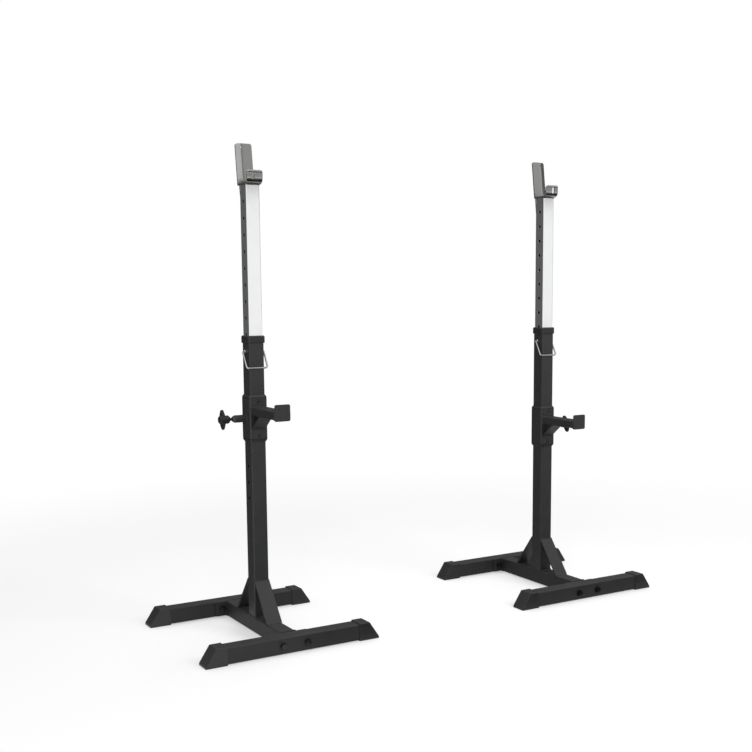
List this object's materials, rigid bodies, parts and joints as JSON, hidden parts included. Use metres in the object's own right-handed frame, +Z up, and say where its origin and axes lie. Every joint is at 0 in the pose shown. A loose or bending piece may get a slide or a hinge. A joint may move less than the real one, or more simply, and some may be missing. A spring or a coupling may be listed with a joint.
{
  "type": "squat stand",
  "caption": "Free-standing pair of height-adjustable squat stands: bolted H base, post, pinned telescoping mast with bar cradle, and a sliding spotter arm locked by a sprung pin.",
  "frame": {"origin": "on the floor, midway between the two stands, at the centre of the footprint", "axes": "+X along the barbell from the left stand to the right stand, +Y away from the lifter (the cradle lips and spotter arms point to -Y), +Z up"},
  "size_m": [1.696, 0.5418, 1.5123],
  "materials": {
    "base_paint": "satin black powder coat",
    "post_paint": "satin black powder coat",
    "black_plastic": "moulded matt black",
    "knob_plastic": "moulded matt black, fine grain",
    "mast_chrome": "polished chrome plate",
    "cradle_chrome": "brushed chrome plate",
    "bright_steel": "bright zinc plate",
    "fastener_steel": "black oxide",
    "spring_steel": "drawn spring wire"
  },
  "bodies": {
    "left_frame": {"left_front_foot_beam": "base_paint", "left_rear_foot_beam": "base_paint", "left_cross_beam": "base_paint", "left_front_foot_strap": "post_paint", "left_rear_foot_strap": "post_paint", "left_post_tube": "post_paint", "left_front_inner_foot_cap": "black_plastic", "left_front_outer_foot_cap": "black_plastic", "left_rear_inner_foot_cap": "black_plastic", "left_rear_outer_foot_cap": "black_plastic", "left_front_inner_base_bolt": "fastener_steel", "left_front_outer_base_bolt": "fastener_steel", "left_rear_inner_base_bolt": "fastener_steel", "left_rear_outer_base_bolt": "fastener_steel", "left_front_inner_base_nut": "fastener_steel", "left_front_outer_base_nut": "fastener_steel", "left_rear_inner_base_nut": "fastener_steel", "left_rear_outer_base_nut": "fastener_steel", "left_guide_cap": "black_plastic", "left_lock_pin": "bright_steel"},
    "left_mast": {"left_mast_tube": "mast_chrome", "left_bar_cradle": "cradle_chrome"},
    "left_bail": {"left_pin_bail": "bright_steel"},
    "left_carriage": {"left_carriage_sleeve": "post_paint", "left_upper_guide_bush": "black_plastic", "left_lower_guide_bush": "black_plastic", "left_spotter_arm": "post_paint", "left_plunger_spring": "spring_steel"},
    "left_plunger": {"left_lock_plunger": "bright_steel"},
    "left_knob": {"left_star_knob": "knob_plastic"},
    "right_frame": {"right_front_foot_beam": "base_paint", "right_rear_foot_beam": "base_paint", "right_cross_beam": "base_paint", "right_front_foot_strap": "post_paint", "right_rear_foot_strap": "post_paint", "right_post_tube": "post_paint", "right_front_inner_foot_cap": "black_plastic", "right_front_outer_foot_cap": "black_plastic", "right_rear_inner_foot_cap": "black_plastic", "right_rear_outer_foot_cap": "black_plastic", "right_front_inner_base_bolt": "fastener_steel", "right_front_outer_base_bolt": "fastener_steel", "right_rear_inner_base_bolt": "fastener_steel", "right_rear_outer_base_bolt": "fastener_steel", "right_front_inner_base_nut": "fastener_steel", "right_front_outer_base_nut": "fastener_steel", "right_rear_inner_base_nut": "fastener_steel", "right_rear_outer_base_nut": "fastener_steel", "right_guide_cap": "black_plastic", "right_lock_pin": "bright_steel"},
    "right_mast": {"right_mast_tube": "mast_chrome", "right_bar_cradle": "cradle_chrome"},
    "right_bail": {"right_pin_bail": "bright_steel"},
    "right_carriage": {"right_carriage_sleeve": "post_paint", "right_upper_guide_bush": "black_plastic", "right_lower_guide_bush": "black_plastic", "right_spotter_arm": "post_paint", "right_plunger_spring": "spring_steel"},
    "right_plunger": {"right_lock_plunger": "bright_steel"},
    "right_knob": {"right_star_knob": "knob_plastic"}
  },
  "joints": [
    {"name": "stand_spacing", "type": "slide", "parent": "left_frame", "child": "right_frame", "axis": [1, 0, 0], "range_m": [-0.3, 0.3]},
    {"name": "left_mast_height", "type": "slide", "parent": "left_frame", "child": "left_mast", "axis": [0, 0, 1], "range_m": [-0.35, 0.25]},
    {"name": "left_bail_swing", "type": "hinge", "parent": "left_frame", "child": "left_bail", "pos_m": [-0.563, 0, 0.886], "axis": [-1, 0, 0], "range_deg": [0, 110]},
    {"name": "left_carriage_height", "type": "slide", "parent": "left_frame", "child": "left_carriage", "axis": [0, 0, 1], "range_m": [-0.25, 0.05]},
    {"name": "left_plunger_pull", "type": "slide", "parent": "left_carriage", "child": "left_plunger", "axis": [-1, 0, 0], "range_m": [0, 0.01], "stiffness_N_per_m": 1500, "springref_m": -0.008, "deforming": ["left_plunger_spring"]},
    {"name": "left_knob_turn", "type": "hinge", "parent": "left_plunger", "child": "left_knob", "pos_m": [-0.66, 0, 0.68], "axis": [-1, 0, 0], "continuous": true},
    {"name": "right_mast_height", "type": "slide", "parent": "right_frame", "child": "right_mast", "axis": [0, 0, 1], "range_m": [-0.35, 0.25]},
    {"name": "right_bail_swing", "type": "hinge", "parent": "right_frame", "child": "right_bail", "pos_m": [0.563, 0, 0.886], "axis": [-1, 0, 0], "range_deg": [0, 110]},
    {"name": "right_carriage_height", "type": "slide", "parent": "right_frame", "child": "right_carriage", "axis": [0, 0, 1], "range_m": [-0.15, 0.15]},
    {"name": "right_plunger_pull", "type": "slide", "parent": "right_carriage", "child": "right_plunger", "axis": [1, 0, 0], "range_m": [0, 0.01], "stiffness_N_per_m": 1500, "springref_m": -0.008, "deforming": ["right_plunger_spring"]},
    {"name": "right_knob_turn", "type": "hinge", "parent": "right_plunger", "child": "right_knob", "pos_m": [0.66, 0, 0.58], "axis": [1, 0, 0], "continuous": true}
  ]
}
